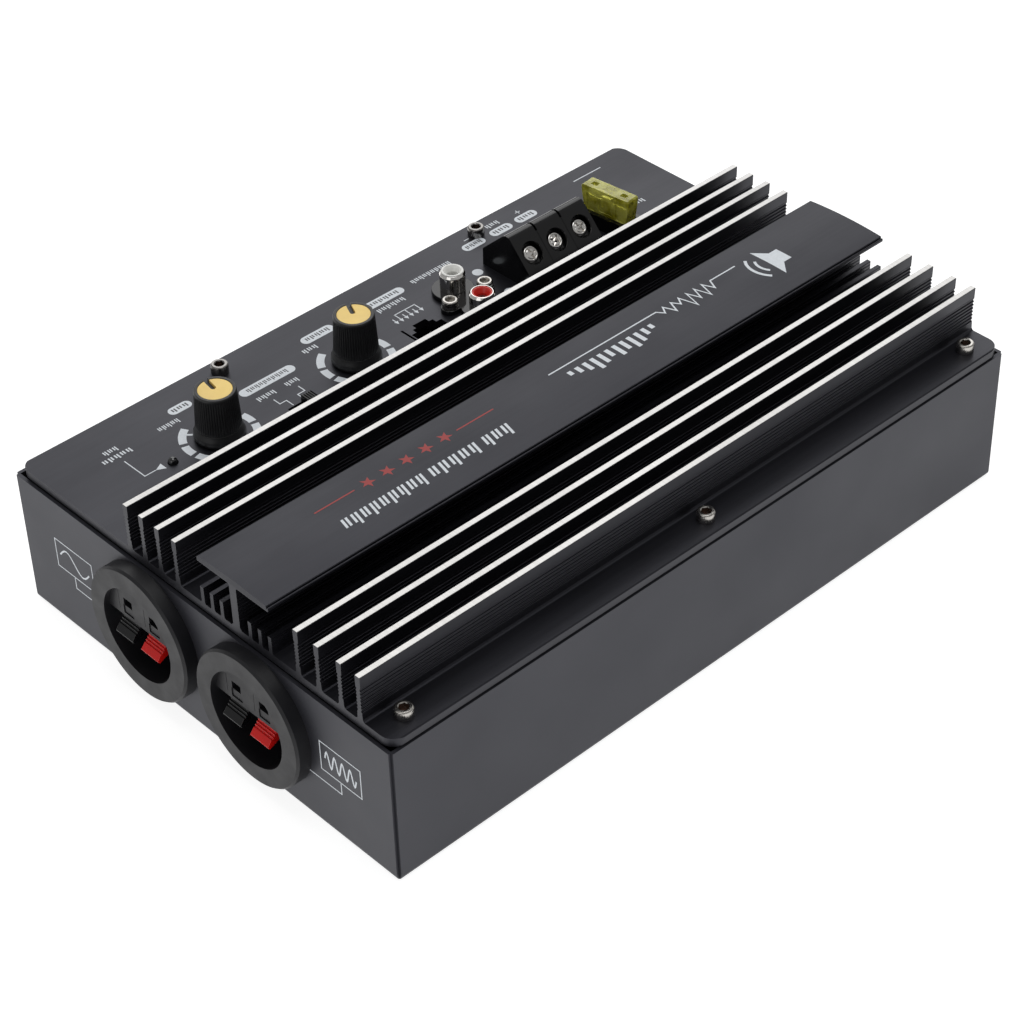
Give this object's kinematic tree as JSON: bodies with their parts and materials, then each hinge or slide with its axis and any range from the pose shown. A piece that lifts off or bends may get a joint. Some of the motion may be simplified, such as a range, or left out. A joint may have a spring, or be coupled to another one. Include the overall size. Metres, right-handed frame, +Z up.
{
  "type": "car amplifier",
  "caption": "Car audio amplifier with a finned cover, control strip with two knobs, switch, fuse, power terminals and RCA sockets, and two round speaker cups.",
  "frame": {"origin": "centre of the case bottom", "axes": "+X towards the speaker terminal end, -Y towards the control strip, +Z up"},
  "size_m": [0.2544, 0.1658, 0.0676],
  "materials": {
    "case_paint": "satin black powder coat",
    "black_anodise": "black anodised, machined fin tops",
    "screw_steel": "dark zinc screw",
    "zinc_steel": "zinc plated",
    "board_laminate": "solder mask",
    "brass_plain": "plain",
    "epoxy_black": "moulded epoxy",
    "silicone_pad": "thermal pad",
    "ferrite": "coated core",
    "copper_wire": "enamelled copper",
    "capacitor_sleeve": "heat-shrink sleeve",
    "relay_case": "moulded",
    "tin_plate": "tinned",
    "pot_metal": "zinc",
    "knob_black": "soft black moulding",
    "knob_yellow": "moulded",
    "slider_black": "moulded",
    "jack_black": "moulded",
    "gold_contact": "gold flash",
    "led_dark": "smoked lens",
    "rca_black": "glossy moulding",
    "nickel": "nickel plate",
    "rca_white": "moulded",
    "rca_red": "moulded",
    "terminal_black": "moulded",
    "terminal_nickel": "nickel plate",
    "fuse_yellow": "clear tinted plastic",
    "cup_black": "fine textured moulding",
    "wire_red": "wire insulation",
    "lever_black": "moulded",
    "lever_red": "moulded"
  },
  "bodies": {
    "amplifier": {"bottom_case": "case_paint", "clinch_nuts": "zinc_steel", "heatsink_cover": "black_anodise", "cover_cap_screws": "screw_steel", "cover_edge_screws": "screw_steel", "circuit_board": "board_laminate", "board_standoffs": "brass_plain", "board_screws": "zinc_steel", "power_transistors": "epoxy_black", "insulating_pads": "silicone_pad", "transistor_screws": "zinc_steel", "toroid_core": "ferrite", "toroid_winding": "copper_wire", "toroid_clamp": "zinc_steel", "filter_capacitors": "capacitor_sleeve", "power_relay": "relay_case", "output_chokes": "copper_wire", "driver_chips": "epoxy_black", "solder_pins": "tin_plate", "level_pot": "pot_metal", "lpf_pot": "pot_metal", "pot_nuts": "pot_metal", "switch_body": "pot_metal", "remote_jack": "jack_black", "remote_jack_contacts": "gold_contact", "power_led": "led_dark", "rca_base": "rca_black", "rca_shells": "nickel", "rca_white_insert": "rca_white", "rca_red_insert": "rca_red", "rca_contacts": "tin_plate", "rca_screws": "screw_steel", "terminal_block": "terminal_black", "terminal_contacts": "tin_plate", "fuse_holder": "terminal_black", "fuse_clips": "tin_plate", "bass_cup": "cup_black", "treble_cup": "cup_black", "cup_contacts": "tin_plate", "cup_pins": "zinc_steel", "speaker_leads": "wire_red"},
    "level_knob_body": {"level_knob": "knob_black", "level_knob_cap": "knob_yellow", "level_shaft": "pot_metal"},
    "lpf_knob_body": {"lpf_knob": "knob_black", "lpf_knob_cap": "knob_yellow", "lpf_shaft": "pot_metal"},
    "switch_slider_body": {"switch_slider": "slider_black"},
    "fuse": {"fuse_body": "fuse_yellow", "fuse_blades": "tin_plate"},
    "bass_black_lever_body": {"bass_black_lever": "lever_black"},
    "bass_red_lever_body": {"bass_red_lever": "lever_red"},
    "treble_black_lever_body": {"treble_black_lever": "lever_black"},
    "treble_red_lever_body": {"treble_red_lever": "lever_red"},
    "terminal_screw_1_body": {"terminal_screw_1": "terminal_nickel"},
    "terminal_cage_1_body": {"terminal_cage_1": "brass_plain"},
    "terminal_screw_2_body": {"terminal_screw_2": "terminal_nickel"},
    "terminal_cage_2_body": {"terminal_cage_2": "brass_plain"},
    "terminal_screw_3_body": {"terminal_screw_3": "terminal_nickel"},
    "terminal_cage_3_body": {"terminal_cage_3": "brass_plain"}
  },
  "joints": [
    {"name": "level_turn", "type": "hinge", "parent": "amplifier", "child": "level_knob_body", "pos_m": [0.0198, -0.051, 0.06], "axis": [0, 0, -1], "range_deg": [0, 300]},
    {"name": "lpf_turn", "type": "hinge", "parent": "amplifier", "child": "lpf_knob_body", "pos_m": [0.073, -0.051, 0.06], "axis": [0, 0, -1], "range_deg": [0, 300]},
    {"name": "switch_slide", "type": "slide", "parent": "amplifier", "child": "switch_slider_body", "axis": [1, 0, 0], "range_m": [0, 0.0043]},
    {"name": "fuse_pull", "type": "slide", "parent": "amplifier", "child": "fuse", "axis": [0, 0, 1], "range_m": [0, 0.014]},
    {"name": "bass_black_press", "type": "hinge", "parent": "amplifier", "child": "bass_black_lever_body", "pos_m": [0.1233, -0.0276, 0.028], "axis": [0, 1, 0], "range_deg": [0, 22], "stiffness_Nm_per_rad": 0.05, "springref_deg": -20.05},
    {"name": "bass_red_press", "type": "hinge", "parent": "amplifier", "child": "bass_red_lever_body", "pos_m": [0.1233, -0.0158, 0.028], "axis": [0, 1, 0], "range_deg": [0, 22], "stiffness_Nm_per_rad": 0.05, "springref_deg": -20.05},
    {"name": "treble_black_press", "type": "hinge", "parent": "amplifier", "child": "treble_black_lever_body", "pos_m": [0.1233, 0.0212, 0.028], "axis": [0, 1, 0], "range_deg": [0, 22], "stiffness_Nm_per_rad": 0.05, "springref_deg": -20.05},
    {"name": "treble_red_press", "type": "hinge", "parent": "amplifier", "child": "treble_red_lever_body", "pos_m": [0.1233, 0.033, 0.028], "axis": [0, 1, 0], "range_deg": [0, 22], "stiffness_Nm_per_rad": 0.05, "springref_deg": -20.05},
    {"name": "terminal_screw_1_turn", "type": "hinge", "parent": "amplifier", "child": "terminal_screw_1_body", "pos_m": [-0.0693, -0.0442, 0.06031], "axis": [0, -0.7314, -0.682], "range_deg": [0, 1080]},
    {"name": "terminal_cage_1_lift", "type": "slide", "parent": "amplifier", "child": "terminal_cage_1_body", "axis": [0, 0.7314, 0.682], "range_m": [0, 0.0021]},
    {"name": "terminal_screw_2_turn", "type": "hinge", "parent": "amplifier", "child": "terminal_screw_2_body", "pos_m": [-0.05865, -0.0442, 0.06031], "axis": [0, -0.7314, -0.682], "range_deg": [0, 1080]},
    {"name": "terminal_cage_2_lift", "type": "slide", "parent": "amplifier", "child": "terminal_cage_2_body", "axis": [0, 0.7314, 0.682], "range_m": [0, 0.0021]},
    {"name": "terminal_screw_3_turn", "type": "hinge", "parent": "amplifier", "child": "terminal_screw_3_body", "pos_m": [-0.048, -0.0442, 0.06031], "axis": [0, -0.7314, -0.682], "range_deg": [0, 1080]},
    {"name": "terminal_cage_3_lift", "type": "slide", "parent": "amplifier", "child": "terminal_cage_3_body", "axis": [0, 0.7314, 0.682], "range_m": [0, 0.0021]}
  ],
  "couplings": [
    {"joint": "terminal_screw_1_turn", "follows": "terminal_cage_1_lift", "rad_per_m": 8975.9},
    {"joint": "terminal_screw_2_turn", "follows": "terminal_cage_2_lift", "rad_per_m": 8975.9},
    {"joint": "terminal_screw_3_turn", "follows": "terminal_cage_3_lift", "rad_per_m": 8975.9}
  ]
}
